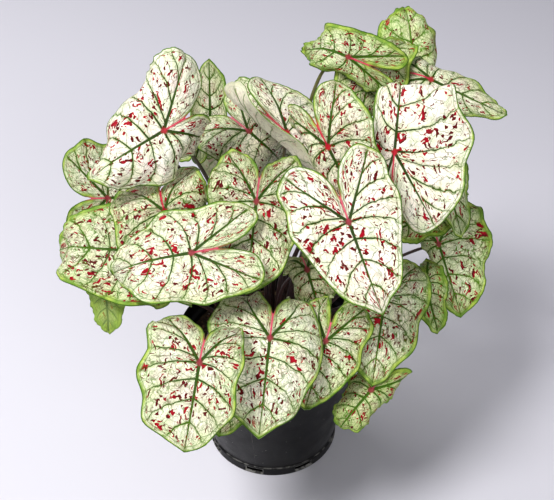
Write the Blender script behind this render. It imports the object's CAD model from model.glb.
import math
from types import SimpleNamespace

import bmesh
import bpy
import numpy as np
from mathutils import Matrix, Vector


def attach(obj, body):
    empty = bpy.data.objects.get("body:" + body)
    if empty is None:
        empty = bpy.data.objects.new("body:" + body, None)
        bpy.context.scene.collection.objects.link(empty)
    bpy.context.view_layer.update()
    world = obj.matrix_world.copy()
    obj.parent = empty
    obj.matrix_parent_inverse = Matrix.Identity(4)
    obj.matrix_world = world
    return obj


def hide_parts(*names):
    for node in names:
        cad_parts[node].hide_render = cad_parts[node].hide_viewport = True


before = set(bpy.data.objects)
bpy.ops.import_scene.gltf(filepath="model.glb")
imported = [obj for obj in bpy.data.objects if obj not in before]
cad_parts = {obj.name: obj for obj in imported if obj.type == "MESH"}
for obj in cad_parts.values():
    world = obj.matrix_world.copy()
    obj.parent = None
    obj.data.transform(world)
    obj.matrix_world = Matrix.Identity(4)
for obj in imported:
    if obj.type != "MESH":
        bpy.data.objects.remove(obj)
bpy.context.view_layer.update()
MM = 0.001

# ---------------------------------------------------------------- the leaves, as in the CAD source
# Half of a flat blade in parts of its length: where each main vein leaves its rib, and where it ends, round
# from the tip to the notch. A point on a blade is told by its column (the vein's number, negative on the
# right side) and by its share of the way out along that vein.
VEINS = [
    ((0.94, 0), (1.0, 0)),
    ((0.66, 0), (0.89, 0.19)),
    ((0.4, 0), (0.72, 0.36)),
    ((0.18, 0), (0.47, 0.48)),
    ((0, 0), (0.2, 0.54)),
    ((-0.05, 0.035), (-0.06, 0.56)),
    ((-0.21, 0.145), (-0.3, 0.57)),
    ((-0.4, 0.275), (-0.5, 0.55)),
    ((-0.55, 0.38), (-0.66, 0.46)),
    ((-0.4, 0.275), (-0.71, 0.31)),
    ((-0.21, 0.145), (-0.61, 0.13)),
    ((-0.05, 0.035), (-0.43, 0.035)),
    ((0, 0), (-0.27, 0)),
]
NOTCH_VEIN = len(VEINS) - 1
LOBE_TIP = (0.66, 0.46)  # end of the lobe rib, behind the joint and across
VEIN_SWEEP = 0.1  # how far a vein bows out on its way
MARGIN_SWING = 0.07  # how far the margin swings in and out, as a share of its distance
LEAF_LENGTH = 75  # mm from joint to tip, for a leaf of size 1
# name, joint in mm, faces [compass, height], turn, size, width, pinch [tip, lobes], wave in mm, phase,
# bends [towards, start, run, angle]
LEAVES = [
    ("23", [59, 47, 367], [-90, 35], -112, 0.85, [0.5, 0.65], [0.2, 0.1], 3, 2,
     [[90, 5, 15, -80], [0, 5, 25, -70], [0, 42, 12, 60]]),
    ("26", [41, -32, 333], [-95, 33], 30, 0.92, [0.95, 0.65], [0.2, 0.1], 3, 3,
     [[-90, 6, 12, -90], [180, 0, 25, -30]]),
    ("01", [-49, -151, 233], [-95, 42], -6, 0.82, [0.85, 1.15], [-0.25, -0.05], 2, 0,
     [[180, 0, 25, -65], [90, 20, 20, -30]]),
    ("02", [-1, -120, 227], [-92, 42], -5, 0.95, [1.12, 1.25], [0.2, 0.1], 3, 1,
     [[180, 0, 30, -65], [90, 10, 25, -45], [-90, 10, 25, -30]]),
    ("03", [40, -105, 210], [-85, 35], -20, 0.71, 1.05, [0.2, 0.1], 3, 2,
     [[180, 3, 25, -35], [-90, 6, 12, -70]]),
    ("04", [86, -73, 222], [-88, 40], -10, 0.88, 0.92, [0.2, 0.1], 3, 3,
     [[180, 5, 25, -60], [-90, 6, 25, -60]]),
    ("05", [-57, -86, 278], [-98, 48], -75, 0.95, [0.95, 0.85], [0.2, 0.1], 3, 3, [[0, 15, 50, -45]]),
    ("06", [76, -113, 167], [-100, 50], -34, 0.59, 1.0, [0.2, 0.1], 2, 4,
     [[90, 3, 15, -90], [-90, 4, 15, -75], [0, 15, 20, -50]]),
    ("07", [54, -85, 304], [-90, 40], 20, 0.92, [1.0, 1.05], [0.3, 0.0], 3, 4, []),
    ("08", [-11, -52, 299], [-92, 42], -5, 0.91, [0.9, 0.95], [-0.1, 0.1], 3, 5, [[180, 0, 30, -45]]),
    ("09", [-19, 43, 304], [-90, 35], 50, 0.98, 0.9, [0.2, 0.1], 3, 0,
     [[180, 0, 25, -50], [0, 8, 25, -75]]),
    ("10", [-78, -24, 342], [-85, 32], -62, 0.9, [1.1, 1.3], [0.2, 0.0], 4, 1,
     [[-60, 13, 25, -70], [90, 5, 18, -45], [150, 6, 20, -55]]),
    ("11", [-134, 13, 259], [-80, 33], 86, 0.66, [1.7, 1.45], [0.2, 0.1], 3, 2, [[0, 8, 20, -85]]),
    ("12", [-79, -49, 288], [-100, 42], 25, 1.0, [0.85, 1.0], [0.2, 0.1], 3, 3,
     [[180, 0, 25, -60], [60, 12, 20, -60]]),
    ("13", [-111, -45, 249], [-100, 48], -88, 1.0, 1.0, [0.2, 0.1], 3, 4,
     [[0, 38, 14, -50], [180, 0, 25, -65]]),
    ("14", [-131, -50, 215], [-110, 15], 5, 0.54, 0.75, [0, 0], 1, 4, []),
    ("15", [135, -14, 232], [-75, 35], 10, 0.85, [1.3, 0.6], [0.2, 0.1], 3, 5,
     [[-90, 3, 12, -115], [180, 3, 20, -60]]),
    ("16", [134, 4, 294], [-75, 35], 8, 0.78, 0.6, [0.2, 0.1], 3, 5, []),
    ("17", [121, -47, 218], [-75, 40], 5, 0.55, 0.8, [0.2, 0.1], 3, 5, [[180, 3, 15, -80]]),
    ("18", [92, -15, 319], [-95, 32], 178, 1.1, [0.45, 1.25], [0.1, 0.35], 3, 0,
     [[117, 5, 12, -90], [0, 44, 12, -110]]),
    ("19", [122, -4, 253], [-90, 60], -60, 0.5, 1.0, [0.2, 0.1], 2, 0, []),
    ("20", [27, -56, 239], [-80, 35], 12, 0.6, [1.0, 0.8], [0.2, 0.1], 3, 0,
     [[-90, 5, 12, -80], [180, 0, 15, -85], [0, 12, 20, -40]]),
    ("22", [119, 85, 333], [-95, 35], 190, 0.93, 1.0, [0.2, 0.1], 3, 1,
     [[-90, 6, 15, -75], [0, 35, 30, -70]]),
    ("24", [80, 57, 359], [-95, 35], -10, 0.75, 1.0, [0.2, 0.1], 3, 2,
     [[180, 0, 20, -60], [0, 20, 20, -60]]),
    ("25", [125, 47, 348], [-80, 40], 60, 0.9, 0.6, [0.2, 0.1], 3, 2,
     [[90, 3, 14, -65], [-90, 3, 14, -65], [180, 0, 20, -50]]),
    ("27", [12, 21, 315], [-90, 40], 48, 1.05, [0.9, 1.0], [0.2, 0.1], 2, 3,
     [[-90, 4, 12, 100], [110, 5, 20, -45]]),
    ("29", [-53, 80, 293], [-85, 30], 178, 0.7, 0.7, [0.2, 0.1], 2, 3, [[90, 5, 12, 70], [-90, 5, 12, 70]]),
    ("32", [-26, -95, 166], [-100, 35], -12, 0.7, 1.0, [0.2, 0.1], 2, 3, []),
    ("r1", [-96, 97, 253], [150, 38], 0, 0.87, 1.0, [0.2, 0.1], 3, 1, [[0, 15, 40, -40], [180, 0, 25, -40]]),
    ("r2", [-38, 120, 250], [105, 42], 0, 0.95, 1.0, [0.2, 0.1], 3, 2, [[0, 15, 40, -40], [180, 0, 25, -40]]),
    ("r3", [25, 125, 240], [85, 40], 0, 0.9, 1.0, [0.2, 0.1], 3, 3, [[0, 15, 40, -40], [180, 0, 25, -40]]),
    ("r4", [80, 130, 265], [60, 45], 0, 0.95, 1.0, [0.2, 0.1], 3, 4, [[0, 15, 40, -40], [180, 0, 25, -40]]),
    ("r5", [145, 90, 250], [20, 45], 0, 0.85, 1.0, [0.2, 0.1], 3, 5, [[0, 15, 40, -40], [180, 0, 25, -40]]),
]
# Curves of the rear spray's stalks in mm: foot, two handles and joint.
REAR_STALKS = {
    "r1": [(2, 27, 112), (2, 27, 182), (-82, 88, 236), (-96, 97, 253)],
    "r2": [(1, 29, 112), (1, 29, 184), (-34, 103, 234), (-38, 120, 250)],
    "r3": [(-2, 28, 112), (-2, 28, 176), (23, 107, 225), (25, 125, 240)],
    "r4": [(-2, 26, 112), (12, 26, 189), (72, 115, 248), (80, 130, 265)],
    "r5": [(1, 25, 112), (1, 25, 181), (129, 84, 233), (145, 90, 250)],
}
STALK_RADIUS = 2.4
STALK_TOP_SHARE = 0.6
SHEATH_AT = (0, 27)
SHEATH_PROFILE = [(0, 84.5), (5.6, 84.5), (6, 86), (6, 108), (5.8, 114), (5.3, 119), (5.1, 122), (4.4, 122.4),
                  (3.2, 121), (0, 119.5)]

# ---------------------------------------------------------------- what the fine blades add, in mm
BLADE_THICKNESS = 0.7
COLUMNS_PER_VEIN = 6
RINGS = 26
RINGS_CLOSER = 0.12  # how much closer the rings lie at the margin
PUFF = 0.09  # height of the quilting, as a share of the gap between two main veins
RIB_GROOVE, RIB_GROOVE_WIDTH = 0.5, 1.6
RUFFLE, FINE_RUFFLE = 0.9, 0.5  # heights of the waves at the margin
# Blades that lie close to a neighbour have a flatter relief.
RELIEF = {"02": 0.4, "09": 0.5, "27": 0.3, "29": 0.3, "r1": 0.5, "r2": 0.5, "r4": 0.4, "r5": 0.4}
# How each leaf differs in colour: green cast, tan cast of old or shaded leaves, pink at the joint, and
# how many red marks it has.
LOOKS = {
    "01": (0.35, 0, 0.5, 1.0), "02": (0.38, 0, 0.5, 0.8), "03": (0.45, 0.15, 0.3, 0.8),
    "04": (0.55, 0, 0.3, 0.9), "05": (0.3, 0, 0.6, 0.9), "06": (0.9, 0.3, 0.2, 0.8),
    "07": (0.05, 0, 0.5, 1.1), "08": (0.4, 0.2, 0.4, 0.9), "09": (0.3, 0.15, 0.2, 0.7),
    "10": (0.12, 0, 0.8, 1.0), "11": (0.4, 0, 0.6, 0.8), "12": (0.45, 0.4, 1.0, 1.0),
    "13": (0.6, 0.15, 0.5, 0.9), "14": (1.0, 0.2, 0.2, 0.4), "15": (0.75, 0, 0.4, 0.9),
    "16": (0.5, 0, 0.3, 0.8), "17": (0.75, 0, 0.3, 0.8), "18": (0, 0, 0.9, 1.0),
    "19": (0.7, 0.2, 0.3, 0.7), "20": (0.4, 0.5, 0.2, 0.5), "22": (0.95, 0.05, 0.6, 0.5),
    "23": (0.7, 0.05, 0.7, 0.9), "24": (0.6, 0.3, 0.8, 0.8), "25": (0.35, 0.1, 0.8, 0.4),
    "26": (0.25, 0.2, 1.0, 1.0), "27": (0.1, 0.05, 0.9, 0.7), "29": (0.3, 0.25, 0.2, 0.4),
    "32": (0.5, 0.3, 0.3, 0.7),
}
REAR_LOOK = (0.35, 0.1, 0.4, 0.8)
PALE_SIDE_UP = "14"  # this leaf shows its underside

# ---------------------------------------------------------------- the pot and the soil, in mm
BAND_RADIUS = 61  # outside of the foot band
BAND_TOP = 9.2
POT_PROFILE = [
    # foot band, with the levels that the drain slots need
    (0, 0), (58.5, 0), (60.4, 0.15), (60.9, 0.5), (61, 0.9), (61, 1.2), (61, 1.25), (61, 4), (61, 7.55),
    (61, 7.6), (61, 8.4), (60.8, 8.9), (60.2, 9.2), (59.8, 9.6),
    # wall
    (60, 10.3), (60.6, 13), (67, 45), (73.5, 77), (80.3, 111),
    # small step, rim band and rounded lip
    (80.5, 111.9), (81.2, 112.1), (83, 112.4), (83.4, 112.8), (83.5, 113.5), (84.9, 123.6), (84.95, 124.3),
    (84.7, 124.8), (84.2, 125), (83.7, 124.9), (83.3, 124.4),
    # inside, down to the floor
    (83.2, 123.6), (81.8, 114.4), (81, 113.4), (78.7, 111.6), (78.5, 110.5), (56.8, 3.4), (56.3, 2.5),
    (55, 2.4), (0, 2.4),
]
POT_STEPS = 384
SLOT_PITCH = 45  # degrees from one drain slot to the next
SLOT_FIRST = 28.5  # compass of the first slot
SLOT_HALF_WIDTH = 8.5
SLOT_BOTTOM, SLOT_TOP = 1.2, 7.6
SLOT_FLOOR_RADIUS = 58.5
MOULD_SEAM_NORMAL = (-0.966, 0.259, 0.0)  # square to the mould seam, at compass -105

# Radii that the crumbs reach, where the peat begins to fall, and of the wall; then heights.
SOIL_EDGE, SOIL_SHOULDER, SOIL_WALL = 74, 48, 78
SOIL_LEVEL, SOIL_CROWN, SOIL_FALL = 110.4, 0.6, 2.4
CRUMB_ROOM = 3.6  # kept clear round each stalk
CRUMB_SPACING = 0.8  # least distance between two crumbs, as a share of their radii together
CRUMB_ROUGHNESS = 0.16  # how far a corner may stray, as a share of the radius
CRUMBS = (  # name, count, radii and flatness
    ("bark_crumbs", 520, (1.0, 3.4), 0.45),
    ("perlite_crumbs", 90, (0.6, 1.6), 0.8),
)


# ---------------------------------------------------------------- shape of a blade
def smooth(x, lo, hi):
    """Smooth change from 0 to 1 while x goes from lo to hi."""
    x = np.clip((x - lo) / (hi - lo), 0, 1)
    return x * x * (3 - 2 * x)


def half_blade(side, share, leaf):
    """Flat points of the 13 main veins of one side at the given shares of the way out, in mm."""
    rows = []
    for number, (root, end) in enumerate(VEINS):
        dx, dy = end[0] - root[0], end[1] - root[1]
        bow = VEIN_SWEEP * np.sin(math.pi * share)
        swing = 1 + MARGIN_SWING * share * (1 - (number / NOTCH_VEIN) ** 4) \
            * math.sin(side * number * 2.7 + 2 * leaf.phase)
        x = root[0] + (dx * share - dy * bow) * swing
        y = root[1] + (dy * share + dx * bow * (1 if dy > 0 else 0)) * swing
        pinch = 1 - np.abs(x) * np.where(x > 0, leaf.pinch[0], leaf.pinch[1])
        width = leaf.width[0] if side > 0 else leaf.width[1]
        rows.append(np.stack([x * leaf.length, y * side * width * pinch * leaf.length], -1))
    return np.array(rows)


def flat_points(columns, share, leaf):
    """Flat points for signed columns: straight from vein to vein at the ribs, rounded at the margin."""
    out = np.zeros(columns.shape + (2,))
    ease = smooth(share, 0, 0.35)[..., None]
    for side in (1, -1):
        pick = columns >= 0 if side > 0 else columns < 0
        c, t = np.abs(columns[pick]), share[pick]
        rows = half_blade(side, t, leaf)
        other = rows[NOTCH_VEIN - 1] * [1, -1]
        padded = np.concatenate([[2 * rows[0] - rows[1]], rows, [other]])
        k = np.minimum(np.floor(c), NOTCH_VEIN - 1).astype(int)
        f = (c - k)[:, None]
        at = np.arange(len(c))
        p0, p1, p2, p3 = (padded[k + i, at] for i in range(4))
        line = p1 * (1 - f) + p2 * f
        curve = 0.5 * (2 * p1 + (p2 - p0) * f + (2 * p0 - 5 * p1 + 4 * p2 - p3) * f**2
                       + (3 * p1 - p0 - 3 * p2 + p3) * f**3)
        out[pick] = line + (curve - line) * ease[pick]
    return out


def bend(p, towards, start, run, angle):
    """Turns the sheet past a line square to `towards` through `angle` over `run`."""
    a, total = math.radians(towards), math.radians(angle)
    x, y, z = p[..., 0], p[..., 1], p[..., 2]
    s = x * math.cos(a) + y * math.sin(a) - start
    turned = total * np.clip(s / run, 0, 1)
    past = np.maximum(s - run, 0)
    radius = run / total
    reach = (radius - z) * np.sin(turned) + past * np.cos(turned)
    rise = radius * (1 - np.cos(turned)) + z * np.cos(turned) + past * np.sin(turned)
    shift = np.where(s > 0, reach - s, 0)
    return np.stack([x + shift * math.cos(a), y + shift * math.sin(a), np.where(s > 0, rise, z)], -1)


def leaf_axes(faces, turn):
    """Directions in the room of a blade's tip, its left side and its upper face."""
    compass, height = (math.radians(v) for v in faces)
    up = Vector((math.cos(height) * math.cos(compass), math.cos(height) * math.sin(compass),
                 math.sin(height)))
    downhill = Vector((math.sin(height) * math.cos(compass), math.sin(height) * math.sin(compass),
                       -math.cos(height)))
    tip = Matrix.Rotation(math.radians(turn), 3, up) @ downhill
    return np.array([tip, up.cross(tip), up])


def distance_to_line(points, a, b):
    """Distance of flat points to the line from a to b, in mm."""
    a, b = np.array(a), np.array(b)
    along = np.clip(((points - a) @ (b - a)) / ((b - a) @ (b - a)), 0, 1)
    return np.linalg.norm(points - a - along[..., None] * (b - a), axis=-1)


def vein_gap(column, share, flat, leaf):
    """How many mm apart two neighbouring main veins lie at each point."""
    aside, ahead = 0.04, 0.02  # small steps to the next column and along the vein
    at_notch = np.abs(column) > NOTCH_VEIN - 0.1
    inwards = np.where(at_notch, -1, 1) * np.where(column >= 0, 1, -1)
    step = flat_points(column + aside * inwards, share, leaf) - flat
    before = flat_points(column, np.maximum(share - ahead, 0), leaf)
    outward = flat_points(column, np.minimum(share + ahead, 1), leaf) - before
    outward /= np.maximum(np.linalg.norm(outward, axis=-1), 1e-6)[:, None]
    return np.abs(step[:, 0] * outward[:, 1] - step[:, 1] * outward[:, 0]) / aside


def rib_distance(flat, leaf):
    """Distance to the midrib or the nearer lobe rib."""
    ribs = distance_to_line(flat, (0, 0), (leaf.length, 0))
    for side, width in zip((1, -1), leaf.width):
        reach = LOBE_TIP[1] * side * width * (1 - LOBE_TIP[0] * leaf.pinch[1]) * leaf.length
        ribs = np.minimum(ribs, distance_to_line(flat, (0, 0), (-LOBE_TIP[0] * leaf.length, reach)))
    return ribs


def margin_distance(flat, columns, leaf):
    """Distance to the outline of the flat blade, taken as straight pieces between the columns."""
    outline = flat_points(np.linspace(-NOTCH_VEIN, NOTCH_VEIN, columns + 1), np.ones(columns + 1), leaf)
    margin = np.full(len(flat), 1e9)
    for a, b in zip(outline[:-1], outline[1:]):
        margin = np.minimum(margin, distance_to_line(flat, a, b))
    return margin


def blade_height(column, share, gap, ribs, wave, phase, relief):
    """The CAD blade's waves, with quilting between the veins, grooves on the ribs and ruffles outside."""
    vein = np.abs(column)
    fade = 1 - (vein / NOTCH_VEIN) ** 4
    puff = 0.5 - 0.5 * np.cos(2 * math.pi * vein)
    puff *= smooth(share, 0.02, 0.3) * (1 - 0.75 * smooth(share, 0.8, 1))
    z = PUFF * gap * puff * np.where(vein > 9, 0.4, 1)
    z -= RIB_GROOVE * np.exp(-((ribs / RIB_GROOVE_WIDTH) ** 2))
    z += RUFFLE * fade * smooth(share, 0.7, 1) * np.sin(column * 5.3 + phase * 3)
    uneven = np.sin(column * 11.7 + phase * 5) * (1 + np.sin(column * 0.9 + phase))
    z += FINE_RUFFLE * fade * smooth(share, 0.85, 1) * uneven
    return wave * fade * share**2 * np.sin(column * 1.9 + phase) + z * relief


def add_object(name, data):
    """Puts new data into the scene as an object at the origin."""
    made = bpy.data.objects.new(name, data)
    bpy.context.scene.collection.objects.link(made)
    return made


def add_piece(name, bm):
    """Turns a bmesh into a smooth-shaded object and frees it."""
    mesh = bpy.data.meshes.new(name)
    bm.to_mesh(mesh)
    bm.free()
    mesh.polygons.foreach_set("use_smooth", [True] * len(mesh.polygons))
    return add_object(name, mesh)


def turned_piece(name, profile, centre, steps):
    """A solid of revolution round an upright line, from [radius, height] points in mm."""
    bm = bmesh.new()
    verts = [bm.verts.new(((r + centre[0]) * MM, centre[1] * MM, z * MM)) for r, z in profile]
    edges = [bm.edges.new(pair) for pair in zip(verts[:-1], verts[1:])]
    bmesh.ops.spin(bm, geom=verts + edges, cent=Vector((*centre, 0)) * MM, axis=(0, 0, 1),
                   angle=math.tau, steps=steps, use_merge=True)
    bmesh.ops.remove_doubles(bm, verts=bm.verts, dist=1e-6)
    bmesh.ops.recalc_face_normals(bm, faces=bm.faces)
    return add_piece(name, bm)


def soil_height(radius):
    """Level of the peat: a low crown in the middle and a fall towards the wall."""
    if radius < SOIL_SHOULDER:
        return SOIL_LEVEL + SOIL_CROWN * (1 - radius / SOIL_SHOULDER)
    return SOIL_LEVEL - SOIL_FALL * (radius - SOIL_SHOULDER) / (SOIL_WALL - SOIL_SHOULDER)


def set_uv(mesh, name, values):
    """Writes one pair of numbers for each face corner."""
    layer = mesh.uv_layers.new(name=name)
    layer.data.foreach_set("uv", np.ascontiguousarray(values, dtype=np.float32).ravel())


def make_leaf(number, row):
    """One blade: a grid laid over the heart-shaped sheet, quilted between its veins and bent as in CAD."""
    name, at, faces, turn, size, width, pinch, wave, phase, bends = row
    widths = width if isinstance(width, list) else [width, width]
    shape = SimpleNamespace(length=size * LEAF_LENGTH, width=widths, pinch=pinch, phase=phase)
    bm = bmesh.new()
    columns = 2 * NOTCH_VEIN * COLUMNS_PER_VEIN
    bmesh.ops.create_grid(bm, x_segments=columns, y_segments=RINGS, size=0.5)
    grid = np.array([v.co for v in bm.verts])
    column = np.round((grid[:, 0] + 0.5) * columns) / COLUMNS_PER_VEIN - NOTCH_VEIN
    share = np.clip(grid[:, 1] + 0.5, 0, 1)
    share = share * (1 + RINGS_CLOSER * (1 - share))
    flat = flat_points(column, share, shape)
    gap = vein_gap(column, share, flat, shape)
    ribs = rib_distance(flat, shape)
    margin = margin_distance(flat, columns, shape)

    z = blade_height(column, share, gap, ribs, wave, phase, RELIEF.get(name, 1))
    p = np.stack([flat[:, 0], flat[:, 1], z], -1)
    for towards, start, run, angle in bends:
        p = bend(p, towards, start, run, angle)
    p = (p @ leaf_axes(faces, turn) + np.array(at)) * MM
    for i, v in enumerate(bm.verts):
        v.co = p[i]

    mesh = bpy.data.meshes.new(f"leaf_{name}")
    bm.to_mesh(mesh)
    order = np.zeros(len(mesh.loops), int)
    mesh.loops.foreach_get("vertex_index", order)
    set_uv(mesh, "vein", np.stack([column, share], -1)[order])
    set_uv(mesh, "reach", np.stack([ribs, margin], -1)[order])
    set_uv(mesh, "flat", flat[order])
    set_uv(mesh, "gap", np.stack([gap, np.linalg.norm(flat, axis=-1)], -1)[order])
    bm.clear()
    bm.from_mesh(mesh)
    bmesh.ops.remove_doubles(bm, verts=bm.verts, dist=1e-6)
    bmesh.ops.reverse_faces(bm, faces=bm.faces)
    bm.to_mesh(mesh)
    bm.free()
    seed = number * 0.37 + 0.2
    for key, value in zip(("seed", "green", "tan", "pink", "marks"), (seed,) + LOOKS.get(name, REAR_LOOK)):
        mesh.attributes.new(key, "FLOAT", "POINT").data.foreach_set(
            "value", np.full(len(mesh.vertices), value, np.float32))
    mesh.polygons.foreach_set("use_smooth", [True] * len(mesh.polygons))
    leaf = add_object(f"blade_{name}", mesh)
    flesh = leaf.modifiers.new("thickness", "SOLIDIFY")
    flesh.thickness = BLADE_THICKNESS * MM
    flesh.offset = 0
    flesh.material_offset = 1
    flesh.material_offset_rim = 2
    return leaf


# ---------------------------------------------------------------- materials
def rgb(code):
    """Linear colour from an sRGB hex code."""
    parts = [int(code[i:i + 2], 16) / 255 for i in (1, 3, 5)]
    return [x / 12.92 if x < 0.04045 else ((x + 0.055) / 1.055) ** 2.4 for x in parts] + [1]


class Tree:
    """A material's node tree, filled by one small call per node."""

    def __init__(self, name):
        self.material = bpy.data.materials.new(name)
        self.material.use_nodes = True
        self.tree = self.material.node_tree
        self.tree.nodes.clear()

    def add(self, kind, inputs=(), out=0, **settings):
        node = self.tree.nodes.new("ShaderNode" + kind)
        for key, value in settings.items():
            setattr(node, key, value)
        for key, value in dict(inputs).items():
            if isinstance(value, bpy.types.NodeSocket):
                self.tree.links.new(value, node.inputs[key])
            else:
                node.inputs[key].default_value = value
        return node.outputs[out]

    def math(self, operation, *values):
        return self.add("Math", dict(enumerate(values)), operation=operation)

    def plus(self, a, b):
        return self.math("ADD", a, b)

    def minus(self, a, b):
        return self.math("SUBTRACT", a, b)

    def times(self, a, b):
        return self.math("MULTIPLY", a, b)

    def larger(self, a, b):
        return self.math("MAXIMUM", a, b)

    def below(self, a, b):
        return self.math("LESS_THAN", a, b)

    def size(self, a):
        return self.math("ABSOLUTE", a)

    def step(self, value, lo, hi, a=0.0, b=1.0):
        """Smooth change from a to b while value goes from lo to hi."""
        return self.add("MapRange", {0: value, 1: lo, 2: hi, 3: a, 4: b}, interpolation_type="SMOOTHSTEP")

    def fade(self, value, lo, hi):
        """Smooth change from 1 to 0 while value goes from lo to hi."""
        return self.step(value, lo, hi, 1.0, 0.0)

    def scale(self, value, lo, hi, a=0.0, b=1.0):
        return self.add("MapRange", {0: value, 1: lo, 2: hi, 3: a, 4: b})

    def vector(self, operation, a, b, out=0):
        return self.add("VectorMath", {0: a, 1: b}, out=out, operation=operation)

    def join(self, x, y=0.0, z=0.0):
        return self.add("CombineXYZ", {0: x, 1: y, 2: z})

    def split(self, vector):
        return list(self.add("SeparateXYZ", {0: vector}).node.outputs)

    def split_colour(self, colour):
        return list(self.add("SeparateColor", {0: colour}).node.outputs)

    def mix(self, share, a, b):
        a, b = (rgb(v) if isinstance(v, str) else v for v in (a, b))
        return self.add("Mix", {0: share, 6: a, 7: b}, out=2, data_type="RGBA")

    def place(self):
        """Object coordinates, in metres."""
        return self.add("TexCoord", out=3)

    def noise(self, vector, scale, detail=2.0, out=0):
        return self.add("TexNoise", {"Vector": vector, "Scale": scale, "Detail": detail}, out=out)

    def cells(self, vector, scale, out=0, feature="F1"):
        return self.add("TexVoronoi", {"Vector": vector, "Scale": scale}, out=out, feature=feature)

    def luck(self, vector):
        """The same random number for the same vector."""
        return self.add("TexWhiteNoise", {"Vector": vector}, noise_dimensions="3D")

    def finish(self, inputs, height=None, depth=0.001):
        if height is not None:
            inputs["Normal"] = self.add("Bump", {"Strength": 1.0, "Distance": depth, "Height": height})
        shader = self.add("BsdfPrincipled", inputs)
        self.tree.links.new(shader, self.tree.nodes.new("ShaderNodeOutputMaterial").inputs[0])
        return self.material


FLOW = (11.0, 36.0)  # mm that one column and the whole way out stand for in the leaf markings
RUNG_SPACING = 7.0


def leaf_places(m):
    """What the markings are measured by: vein coordinates, distances in mm and the leaf's own values."""
    at = SimpleNamespace()
    at.column, at.out, _ = m.split(m.add("UVMap", uv_map="vein"))
    at.rib, at.margin, _ = m.split(m.add("UVMap", uv_map="reach"))
    at.gap, at.far, _ = m.split(m.add("UVMap", uv_map="gap"))
    x, y, _ = m.split(m.add("UVMap", uv_map="flat"))
    for key in ("seed", "green", "tan", "pink", "marks"):
        setattr(at, key, m.add("Attribute", attribute_name=key, out=2))
    at.around = m.size(at.column)
    at.slice = m.times(at.seed, 97.0)  # each leaf has its own slice of every pattern
    at.flat = m.join(x, y, at.slice)
    at.wobble = m.minus(m.noise(at.flat, 0.16), 0.5)
    at.fine_wobble = m.minus(m.noise(at.flat, 0.7), 0.5)
    # Coordinates in mm that run with the veins, slightly bent, so that marks lie along them.
    flow = m.join(m.times(at.column, FLOW[0]), m.times(at.out, FLOW[1]), at.slice)
    drift = m.vector("SUBTRACT", m.noise(at.flat, 0.12, out=1), (0.5, 0.5, 0.5))
    at.flow = m.vector("ADD", flow, m.vector("MULTIPLY", drift, (12.0, 10.0, 0.0)))
    return at


def leaf_main_veins(m, at):
    """Main veins at the whole column numbers, narrower outwards; their halo; and the distance to them."""
    column = m.plus(at.around, m.times(at.wobble, m.scale(at.out, 0.0, 1.0, 0.0, 0.5)))
    number = m.math("ROUND", column)
    off = m.times(m.size(m.minus(column, number)), at.gap)
    off = m.plus(off, m.times(at.fine_wobble, 0.3))
    luck = m.luck(m.join(m.times(number, m.math("SIGN", at.column)), at.slice))
    vigour = m.times(m.step(at.around, 8.4, 8.6, 1.0, 0.3), m.scale(luck, 0.0, 1.0, 0.55, 1.15))
    half = m.times(m.scale(at.out, 0.0, 1.0, 0.46, 0.12), vigour)
    veins = m.fade(m.minus(off, half), -0.05, 0.3)
    veins = m.times(veins, m.step(at.margin, 2.2, 4.4))
    veins = m.times(veins, m.fade(at.around, 11.4, 11.5))
    veins = m.times(veins, m.math("MINIMUM", m.times(vigour, 1.6), 1.0))
    halo = m.times(m.fade(off, 0.3, 2.6), vigour)
    return veins, halo, off


def leaf_ribs(m, at):
    """Midrib and lobe ribs, stout at the joint."""
    half = m.scale(at.far, 0.0, 55.0, 1.1, 0.25)
    return m.times(m.fade(m.minus(at.rib, half), -0.1, 0.35), m.step(at.margin, 1.6, 2.8))


def leaf_thin_veins(m, at, off):
    """Weaker veins halfway between, slanting ones that leave the main veins, and the net of finest veins."""
    twice = m.plus(m.times(at.around, 2.0), m.times(at.wobble, 1.6))
    between = m.times(m.math("PINGPONG", twice, 0.5), m.times(at.gap, 0.5))
    between = m.times(m.fade(between, 0.06, 0.38), m.step(at.out, 0.1, 0.45))
    strip = m.luck(m.join(m.math("FLOOR", m.times(at.column, 2.0)), at.slice, 5.0))
    slant = m.minus(m.times(at.out, FLOW[1]), m.times(off, 0.9))
    slant = m.plus(m.plus(slant, m.times(at.wobble, 9.0)), m.times(strip, RUNG_SPACING))
    rungs = m.times(m.math("PINGPONG", m.math("DIVIDE", slant, RUNG_SPACING), 0.5), RUNG_SPACING)
    rungs = m.fade(m.plus(rungs, m.times(at.fine_wobble, 0.5)), 0.1, 0.42)
    net = m.cells(m.vector("MULTIPLY", at.flow, (0.32, 0.22, 1.0)), 1.0, feature="DISTANCE_TO_EDGE")
    net = m.times(m.fade(net, 0.02, 0.11), m.step(m.noise(at.flat, 0.2), 0.35, 0.6))
    fine_net = m.cells(m.vector("MULTIPLY", at.flow, (0.7, 0.5, 1.0)), 1.0, feature="DISTANCE_TO_EDGE")
    fine_net = m.fade(fine_net, 0.02, 0.13)
    thin = m.larger(m.times(net, 0.65), m.times(fine_net, 0.3))
    thin = m.times(thin, m.scale(m.plus(at.green, at.tan), 0.0, 0.6, 0.5, 1.6))
    thin = m.larger(thin, m.times(between, 0.8))
    return m.larger(thin, m.times(rungs, 0.8))


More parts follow.
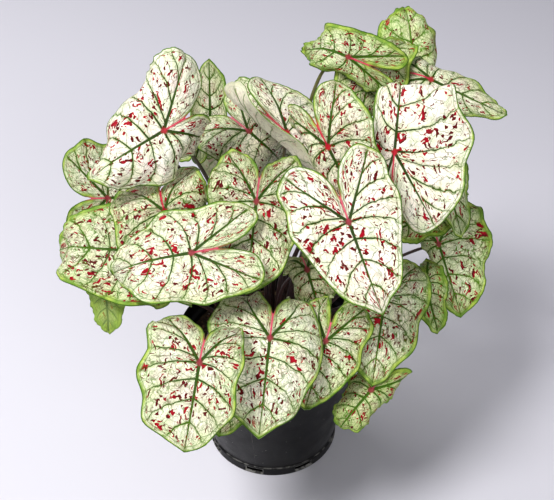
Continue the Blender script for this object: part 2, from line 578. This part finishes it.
def leaf_flecks(m, at):
    """Large red and small dark flecks, made of whole tiny cells, so that their edges are angular."""
    tiny = m.cells(m.vector("MULTIPLY", at.flow, (0.8, 0.6, 1.0)), 1.0, out=2)
    middle = m.vector("MULTIPLY", tiny, (1 / 0.8, 1 / 0.6, 1.0))
    clear = m.step(at.margin, 2.4, 4.0)

    def blots(size, radius, share, shift):
        """Blots in `share` of the cells `size` mm wide, with radii up to `radius` of a cell."""
        spot = m.vector("ADD", m.vector("MULTIPLY", middle, (1 / size, 0.62 / size, 1.0)), (shift,) * 3)
        distance, colour = list(m.cells(spot, 1.0).node.outputs)[:2]
        chance, luck, _ = m.split_colour(colour)
        near = m.below(distance, m.scale(chance, 0.0, 1.0, radius * 0.5, radius))
        return m.times(near, m.below(luck, m.times(at.marks, share)))

    red = m.times(m.larger(blots(10.0, 0.3, 0.8, 3.3), blots(6.5, 0.33, 0.6, 7.1)), clear)
    dots = m.times(m.larger(blots(3.4, 0.32, 0.5, 1.7), blots(2.3, 0.4, 0.35, 9.2)), clear)
    return red, dots


def leaf_ground(m, at):
    """Cream, blushed in places, greener towards the margin."""
    ground = m.mix(m.step(m.noise(at.flat, 0.09, 3.0), 0.35, 0.7), "#FFF9EC", "#E9EDCD")
    ground = m.mix(m.times(m.step(m.noise(at.flat, 0.06, 1.0), 0.4, 0.65), 0.38), ground, "#F3DACF")
    outside = m.times(m.fade(at.margin, 3.0, 16.0), m.scale(at.green, 0.0, 1.0, 0.1, 0.8))
    ground = m.mix(outside, ground, "#CBDD97")
    ground = m.mix(m.times(m.math("POWER", at.green, 1.5), 0.6), ground, "#B4CB6E")
    return m.mix(m.times(at.tan, 0.7), ground, "#B0A268")


def leaf_margin(m, at, colour):
    """Green band, under a millimetre on white leaves and several on green ones, and a vein inside it."""
    wide = m.times(m.scale(m.math("POWER", at.green, 2.0), 0.0, 1.0, 0.7, 4.2),
                   m.step(m.noise(at.flat, 0.035, 1.0), 0.35, 0.65, 0.6, 1.9))
    uneven = m.plus(at.margin, m.times(at.wobble, 2.0))
    band = m.step(m.math("DIVIDE", uneven, wide), 0.5, 2.0, 0.9, 0.0)
    colour = m.mix(band, colour, m.mix(m.step(m.noise(at.flat, 0.12), 0.35, 0.65), "#6C9428", "#ACC250"))
    ring = m.size(m.minus(uneven, 3.1))
    ring = m.times(m.fade(ring, 0.15, 0.5), m.fade(at.around, 11.0, 11.6))
    return m.mix(m.times(ring, 0.6), colour, "#5A7A2A")


def leaf_pink(m, at):
    """Share of pink: the seam between the lobes, its blush and its end at the notch."""
    off = m.times(m.minus(float(NOTCH_VEIN), at.around), at.gap)
    seam = m.fade(off, 0.25, 0.9)
    blush = m.times(m.fade(off, 0.5, 4.0), m.step(at.out, 0.3, 1.0, 0.05, 0.8))
    notch = m.times(m.fade(at.margin, 0.5, 3.2), m.step(at.around, 11.2, 11.8))
    return m.larger(seam, m.larger(m.times(blush, at.pink), notch))


def leaf_material(name, under):
    """Caladium blade: cream between dark green veins, crimson flecks, pale green margin, pink seam."""
    m = Tree(name)
    at = leaf_places(m)
    main, halo, off = leaf_main_veins(m, at)
    strong = m.larger(main, leaf_ribs(m, at))
    thin = leaf_thin_veins(m, at, off)
    red, dots = leaf_flecks(m, at)
    pinkness = leaf_pink(m, at)

    colour = m.mix(m.times(halo, 0.5), leaf_ground(m, at), "#9DB866")
    thin_green = m.mix(at.green, "#3A560E", "#5A861C")
    colour = m.mix(thin, colour, m.mix(m.step(m.noise(at.flat, 0.15), 0.45, 0.65), thin_green, "#57300C"))
    colour = leaf_margin(m, at, colour)
    colour = m.mix(dots, colour, "#5C080C")
    colour = m.mix(red, colour, m.mix(m.step(m.noise(at.flat, 0.3), 0.3, 0.7), "#A80420", "#7C0616"))
    near_green = m.mix(at.green, "#223A00", "#3E6606")
    far_green = m.mix(at.green, "#426200", "#628E1E")
    colour = m.mix(m.times(strong, 0.98), colour, m.mix(m.step(at.far, 5.0, 60.0), near_green, far_green))
    colour = m.mix(m.step(at.margin, 0.4, 1.2, 0.95, 0.0), colour, "#4A6E1E")
    colour = m.mix(pinkness, colour, m.mix(at.pink, "#E4738C", "#CC1F45"))
    joint_red = m.mix(m.step(at.pink, 0.6, 1.0), "#9A3B45", "#C4122E")
    colour = m.mix(m.step(at.far, 1.4, 3.4, 0.85, 0.0), colour, joint_red)
    if under:
        pale = m.mix(pinkness, m.mix(at.green, "#FFF6E2", "#A6C25E"), "#F0B9B4")
        colour = m.mix(m.scale(at.green, 0.0, 1.0, 0.68, 0.5), colour, m.mix(strong, pale, "#A3B375"))
    height = m.plus(m.times(thin, -0.5), m.times(m.noise(at.flat, 0.8, 3.0), 0.5))
    height = m.minus(height, m.times(strong, 0.9))
    rough = m.scale(m.noise(at.flat, 0.25), 0.3, 0.7, 0.4, 0.55)
    return m.finish({"Base Color": colour, "Roughness": rough, "Specular IOR Level": 0.12}, height, 0.0005)


def rim_material():
    """The thin cut rim of a blade: yellow-green, slightly uneven."""
    m = Tree("leaf_rim")
    colour = m.mix(m.noise(m.place(), 90.0), "#54752A", "#84A23E")
    return m.finish({"Base Color": colour, "Roughness": 0.5})


def stalk_material():
    """Leaf stalks: blackish purple below, olive green towards the blade, finely streaked."""
    m = Tree("leaf_stalk")
    place = m.place()
    z = m.split(place)[2]
    streak = m.noise(m.vector("MULTIPLY", place, (500, 500, 40)), 1.0, 3.0)
    low = m.mix(streak, "#1E1413", "#4C2B26")
    high = m.mix(streak, "#56602F", "#847E4C")
    colour = m.mix(m.step(m.plus(z, m.times(streak, 0.03)), 0.25, 0.4), low, high)
    return m.finish({"Base Color": colour, "Roughness": 0.4}, streak, 0.0002)


def pot_scuffs(m, place):
    """Pale wear on the foot band's edge, round the drain slots and along the mould seam."""
    x, y, z = m.split(place)
    edge = m.times(m.fade(m.size(m.minus(z, BAND_TOP * MM)), 0.0, 0.0009),
                   m.step(m.noise(place, 160.0, 4.0), 0.45, 0.62))
    scuff = m.times(edge, 0.6)
    # Distance from the outline of the nearest drain slot, along the band and upwards.
    angle = m.minus(m.math("ARCTAN2", y, x), math.radians(SLOT_FIRST))
    along = m.times(m.math("PINGPONG", angle, math.radians(SLOT_PITCH / 2)), BAND_RADIUS * MM)
    across = m.minus(m.size(m.minus(z, (SLOT_BOTTOM + SLOT_TOP) / 2 * MM)), (SLOT_TOP - SLOT_BOTTOM) / 2 * MM)
    off = m.size(m.larger(m.minus(along, SLOT_HALF_WIDTH * MM), across))
    worn = m.times(m.fade(off, 0.0002, 0.0007), m.step(m.noise(place, 220.0, 3.0), 0.4, 0.6, 0.1, 1.0))
    scuff = m.larger(scuff, m.times(worn, m.below(z, (SLOT_TOP + 0.9) * MM)))
    seam = m.fade(m.size(m.vector("DOT_PRODUCT", place, MOULD_SEAM_NORMAL, out=1)), 0.0, 0.0005)
    seam = m.times(seam, m.below(y, 0.0))
    return m.larger(scuff, m.times(seam, m.scale(m.noise(place, 120.0, 3.0), 0.4, 0.7, 0.0, 0.5)))


def plastic_material():
    """Black moulded polypropylene: faint grain, pale scuffs, dust and pale specks."""
    m = Tree("pot_plastic")
    place = m.place()
    z = m.split(place)[2]
    dust = m.times(m.noise(place, 45.0, 4.0), m.step(z, 0.0, 0.06, 0.3, 0.06))
    colour = m.mix(dust, "#040405", "#2C2A28")
    distance, chance = list(m.cells(place, 330.0).node.outputs)[:2]
    speck = m.times(m.fade(distance, 0.1, 0.22), m.below(m.split_colour(chance)[0], 0.1))
    colour = m.mix(m.times(m.larger(pot_scuffs(m, place), speck), 0.5), colour, "#9A9892")
    rough = m.scale(m.noise(place, 60.0, 3.0), 0.3, 0.7, 0.3, 0.46)
    grain = m.noise(place, 900.0)
    return m.finish({"Base Color": colour, "Roughness": rough, "Specular IOR Level": 0.22}, grain, 0.0001)


def slot_material():
    """The rough floor of a drain slot, caked with dark peat, which hardly reflects."""
    m = Tree("slot_peat")
    place = m.place()
    colour = m.mix(m.step(m.noise(place, 400.0, 3.0), 0.5, 0.7), "#010101", "#0E0C0A")
    height = m.noise(place, 500.0, 3.0)
    return m.finish({"Base Color": colour, "Roughness": 1.0, "Specular IOR Level": 0.0}, height, 0.0005)


def soil_material():
    """Moist peat with lighter grains."""
    m = Tree("peat")
    place = m.place()
    distance, chance = list(m.cells(place, 160.0).node.outputs)[:2]
    colour = m.mix(m.noise(place, 120.0, 4.0), "#1D140F", "#4A3527")
    light = m.below(m.split_colour(chance)[0], 0.08)
    colour = m.mix(m.times(light, 0.7), colour, "#8A7458")
    height = m.plus(m.noise(place, 90.0, 5.0), m.times(distance, -0.6))
    return m.finish({"Base Color": colour, "Roughness": 0.95}, height, 0.003)


def crumb_material(name):
    """Shredded bark, brown to black; or perlite, chalky white and dirty."""
    m = Tree(name)
    place = m.place()
    if name == "bark_crumbs":
        colour = m.mix(m.step(m.noise(place, 260.0, 3.0), 0.3, 0.7), "#17100C", "#6B4A30")
    else:
        colour = m.mix(m.noise(place, 500.0, 3.0), "#B9B4A8", "#EDEAE2")
    return m.finish({"Base Color": colour, "Roughness": 0.9}, m.noise(place, 1200.0, 3.0), 0.0005)


def tuber_material():
    """Corky, pitted tuber skin."""
    m = Tree("tuber_skin")
    place = m.place()
    colour = m.mix(m.noise(place, 80.0, 5.0), "#3C2A1C", "#7A5B3E")
    return m.finish({"Base Color": colour, "Roughness": 0.9}, m.cells(place, 250.0), 0.001)


def floor_material():
    """Plain matt paper."""
    m = Tree("paper_floor")
    colour = m.mix(m.noise(m.place(), 3.0), "#D1CFD6", "#D3D1D8")
    return m.finish({"Base Color": colour, "Roughness": 0.7})


# ---------------------------------------------------------------- leaves and rear spray
upper = leaf_material("leaf_upper", False)
lower = leaf_material("leaf_lower", True)
rim = rim_material()
stalk_skin = stalk_material()
for number, row in enumerate(LEAVES):
    leaf = make_leaf(number, row)
    for material in (lower if row[0] == PALE_SIDE_UP else upper, lower, rim):
        leaf.data.materials.append(material)
    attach(leaf, "root")
    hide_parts("rear_spray" if row[0].startswith("r") else f"leaf_{row[0]}")

for name, points in REAR_STALKS.items():
    curve = bpy.data.curves.new(f"rear_stalk_{name}", "CURVE")
    curve.dimensions = "3D"
    spline = curve.splines.new("BEZIER")
    spline.bezier_points.add(1)
    foot, foot_handle, joint_handle, joint = (Vector(q) * MM for q in points)
    lower_end, upper_end = spline.bezier_points
    lower_end.co, lower_end.radius = foot, 1.0
    lower_end.handle_left, lower_end.handle_right = foot - (foot_handle - foot) / 3, foot_handle
    upper_end.co, upper_end.radius = joint, STALK_TOP_SHARE
    upper_end.handle_left, upper_end.handle_right = joint_handle, joint + (joint - joint_handle) / 3
    curve.bevel_depth = STALK_RADIUS * MM
    curve.bevel_resolution = 3
    curve.resolution_u = 24
    curve.use_fill_caps = True
    made = add_object(f"rear_stalk_{name}", curve)
    curve.materials.append(stalk_skin)
    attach(made, "root")
    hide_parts("rear_spray")

# ---------------------------------------------------------------- pot, and the sheath of the rear spray
pot = turned_piece("nursery_pot", POT_PROFILE, (0, 0), POT_STEPS)
# The drain slots are pressed in from the foot band, and their floors get their own material.
for v in pot.data.vertices:
    x, y, z = v.co / MM
    radius = math.hypot(x, y)
    if BAND_RADIUS - 1 < radius and SLOT_BOTTOM + 0.01 < z < SLOT_TOP - 0.02:
        off = (math.degrees(math.atan2(y, x)) - SLOT_FIRST + SLOT_PITCH / 2) % SLOT_PITCH - SLOT_PITCH / 2
        if abs(math.radians(off)) * BAND_RADIUS < SLOT_HALF_WIDTH:
            v.co.x, v.co.y = v.co.x * SLOT_FLOOR_RADIUS / radius, v.co.y * SLOT_FLOOR_RADIUS / radius
for face in pot.data.polygons:
    x, y, z = face.center / MM
    upright = abs(face.normal.z) < 0.3
    inside = math.hypot(x, y) < SLOT_FLOOR_RADIUS + 0.1 and SLOT_BOTTOM + 0.1 < z < SLOT_TOP - 0.1
    face.material_index = int(upright and inside)
pot.data.materials.append(plastic_material())
pot.data.materials.append(slot_material())
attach(pot, "root")
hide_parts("pot")

sheath = turned_piece("rear_sheath", SHEATH_PROFILE, SHEATH_AT, 32)
sheath.data.materials.append(stalk_skin)
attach(sheath, "root")
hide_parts("rear_spray")

# ---------------------------------------------------------------- soil, tuber and stalks
# Bark and perlite crumbs lie half sunk in the peat, clear of the stalks and hardly touching each other.
feet = [np.array([v.co for v in node.data.vertices if 0.105 < v.co.z < 0.125]).mean(0)[:2] / MM
        for name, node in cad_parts.items() if name.startswith("stalk_")] + [np.array(SHEATH_AT)]
dice = np.random.default_rng(7)
laid = []
for name, count, sizes, flatness in CRUMBS:
    bm = bmesh.new()
    while count:
        radius, angle = SOIL_EDGE * math.sqrt(dice.random()), math.tau * dice.random()
        spot = np.array([radius * math.cos(angle), radius * math.sin(angle)])
        size = dice.uniform(*sizes)
        if min(np.hypot(*(spot - foot)) for foot in feet) < CRUMB_ROOM + size \
                or any(np.hypot(*(spot - other)) < CRUMB_SPACING * (size + wide) for other, wide in laid):
            continue
        laid.append((spot, size))
        turn = Matrix.Rotation(math.tau * dice.random(), 4, "Z")
        tilt = Matrix.Rotation(dice.uniform(-0.4, 0.4), 4, "X")
        stretch = Matrix.Diagonal((1, dice.uniform(0.45, 0.8), flatness, 1))
        shift = Matrix.Translation(Vector((*spot, soil_height(radius))) * MM)
        made = bmesh.ops.create_icosphere(bm, subdivisions=1, radius=size * MM,
                                          matrix=shift @ (turn @ tilt) @ stretch)
        for v in made["verts"]:
            v.co += Vector(dice.uniform(-CRUMB_ROUGHNESS, CRUMB_ROUGHNESS, 3)) * size * MM
        count -= 1
    crumbs = add_piece(name, bm)
    crumbs.data.materials.append(crumb_material(name))
    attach(crumbs, "root")

skins = {"soil": soil_material(), "tuber": tuber_material()}
for name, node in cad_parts.items():
    if name.startswith("stalk_"):
        node.data.materials.clear()
        node.data.materials.append(stalk_skin)
        weld = node.modifiers.new("weld", "WELD")
        weld.merge_threshold = 1e-6
        round_off = node.modifiers.new("round", "SUBSURF")
        round_off.levels = round_off.render_levels = 2
    elif name in skins:
        node.data.materials.clear()
        node.data.materials.append(skins[name])

# ---------------------------------------------------------------- floor, light and camera, in metres
bpy.ops.mesh.primitive_plane_add(size=12, location=(0, 0, -0.0003))
floor = bpy.context.object
floor.name = "floor"
floor.data.materials.append(floor_material())

world = bpy.data.worlds.new("studio")
bpy.context.scene.world = world
world.use_nodes = True
sky = world.node_tree.nodes["Background"].inputs
sky[0].default_value = rgb("#E6E8F2")
sky[1].default_value = 0.31

PLANT_MIDDLE = Vector((0, 0, 0.2))
for name, place, size, power in (
    ("key", (-0.8, -0.75, 1.9), 0.7, 43),
    ("fill", (0.9, -1.7, 0.9), 1.2, 16),
    ("back", (-1.2, 1.2, 1.5), 1.2, 17),
):
    lamp = bpy.data.lights.new(name, "AREA")
    lamp.shape = "DISK"
    lamp.size = size
    lamp.energy = power
    light = add_object(name, lamp)
    light.location = place
    light.rotation_euler = (PLANT_MIDDLE - Vector(place)).to_track_quat("-Z", "Y").to_euler()

camera_data = bpy.data.cameras.new("camera")
camera_data.sensor_width = 36
camera_data.lens = 56.9
camera = add_object("camera", camera_data)
camera.location = (0.004, -0.583, 0.655)
camera.rotation_euler = (math.radians(53), 0, 0)
bpy.context.scene.camera = camera
bpy.context.scene.view_settings.view_transform = "Standard"
bpy.context.scene.view_settings.gamma = 0.93
